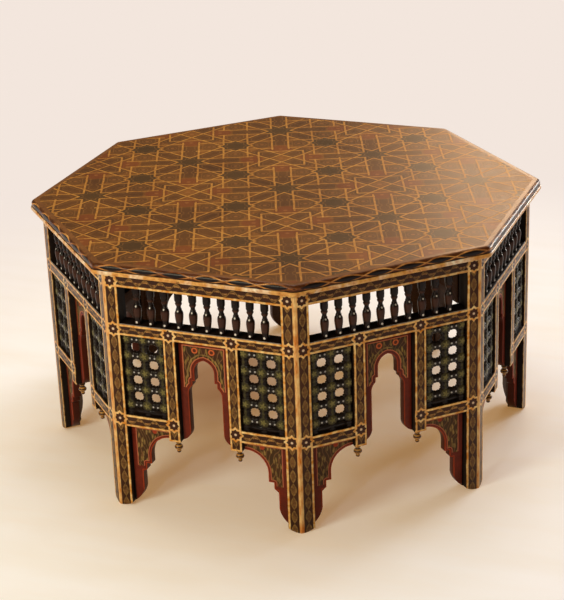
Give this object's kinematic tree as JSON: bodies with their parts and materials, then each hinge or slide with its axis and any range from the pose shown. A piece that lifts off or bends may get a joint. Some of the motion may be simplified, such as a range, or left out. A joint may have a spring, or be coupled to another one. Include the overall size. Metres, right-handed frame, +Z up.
{
  "type": "octagonal coffee table",
  "caption": "Octagonal painted wooden coffee table: an overhanging top on a ring of framed sides with spindle galleries, pierced lattices, lobed arches and bracketed legs.",
  "frame": {"origin": "centre of the footprint on the floor", "axes": "+Z up, the height; side 1 of the eight faces -Y, and a face also looks along +X, -X and +Y"},
  "size_m": [0.9386, 0.9386, 0.501],
  "materials": {
    "stile_paint": "varnished paint, gloss",
    "rail_paint": "varnished paint, gloss",
    "turned_black": "varnished paint, gloss",
    "lattice_black": "varnished paint, gloss",
    "board_paint": "varnished paint, gloss",
    "pendant_brown": "varnished paint, gloss",
    "bare_wood": "bare, aged",
    "top_paint": "varnished paint, gloss",
    "edging_paint": "varnished paint, gloss"
  },
  "bodies": {
    "root": {"stiles_side1": "stile_paint", "rails_side1": "rail_paint", "mullions_side1": "stile_paint", "gallery_spindles_side1": "turned_black", "lattices_side1": "lattice_black", "arch_board_side1": "board_paint", "brackets_side1": "board_paint", "stiles_side2": "stile_paint", "rails_side2": "rail_paint", "mullions_side2": "stile_paint", "gallery_spindles_side2": "turned_black", "lattices_side2": "lattice_black", "arch_board_side2": "board_paint", "brackets_side2": "board_paint", "stiles_side3": "stile_paint", "rails_side3": "rail_paint", "mullions_side3": "stile_paint", "gallery_spindles_side3": "turned_black", "lattices_side3": "lattice_black", "arch_board_side3": "board_paint", "brackets_side3": "board_paint", "stiles_side4": "stile_paint", "rails_side4": "rail_paint", "mullions_side4": "stile_paint", "gallery_spindles_side4": "turned_black", "lattices_side4": "lattice_black", "arch_board_side4": "board_paint", "brackets_side4": "board_paint", "stiles_side5": "stile_paint", "rails_side5": "rail_paint", "mullions_side5": "stile_paint", "gallery_spindles_side5": "turned_black", "lattices_side5": "lattice_black", "arch_board_side5": "board_paint", "brackets_side5": "board_paint", "stiles_side6": "stile_paint", "rails_side6": "rail_paint", "mullions_side6": "stile_paint", "gallery_spindles_side6": "turned_black", "lattices_side6": "lattice_black", "arch_board_side6": "board_paint", "brackets_side6": "board_paint", "stiles_side7": "stile_paint", "rails_side7": "rail_paint", "mullions_side7": "stile_paint", "gallery_spindles_side7": "turned_black", "lattices_side7": "lattice_black", "arch_board_side7": "board_paint", "brackets_side7": "board_paint", "stiles_side8": "stile_paint", "rails_side8": "rail_paint", "mullions_side8": "stile_paint", "gallery_spindles_side8": "turned_black", "lattices_side8": "lattice_black", "arch_board_side8": "board_paint", "brackets_side8": "board_paint", "pendants": "pendant_brown", "corner_blocks": "bare_wood", "top_panel": "top_paint", "top_edging": "edging_paint"}
  },
  "joints": []
}
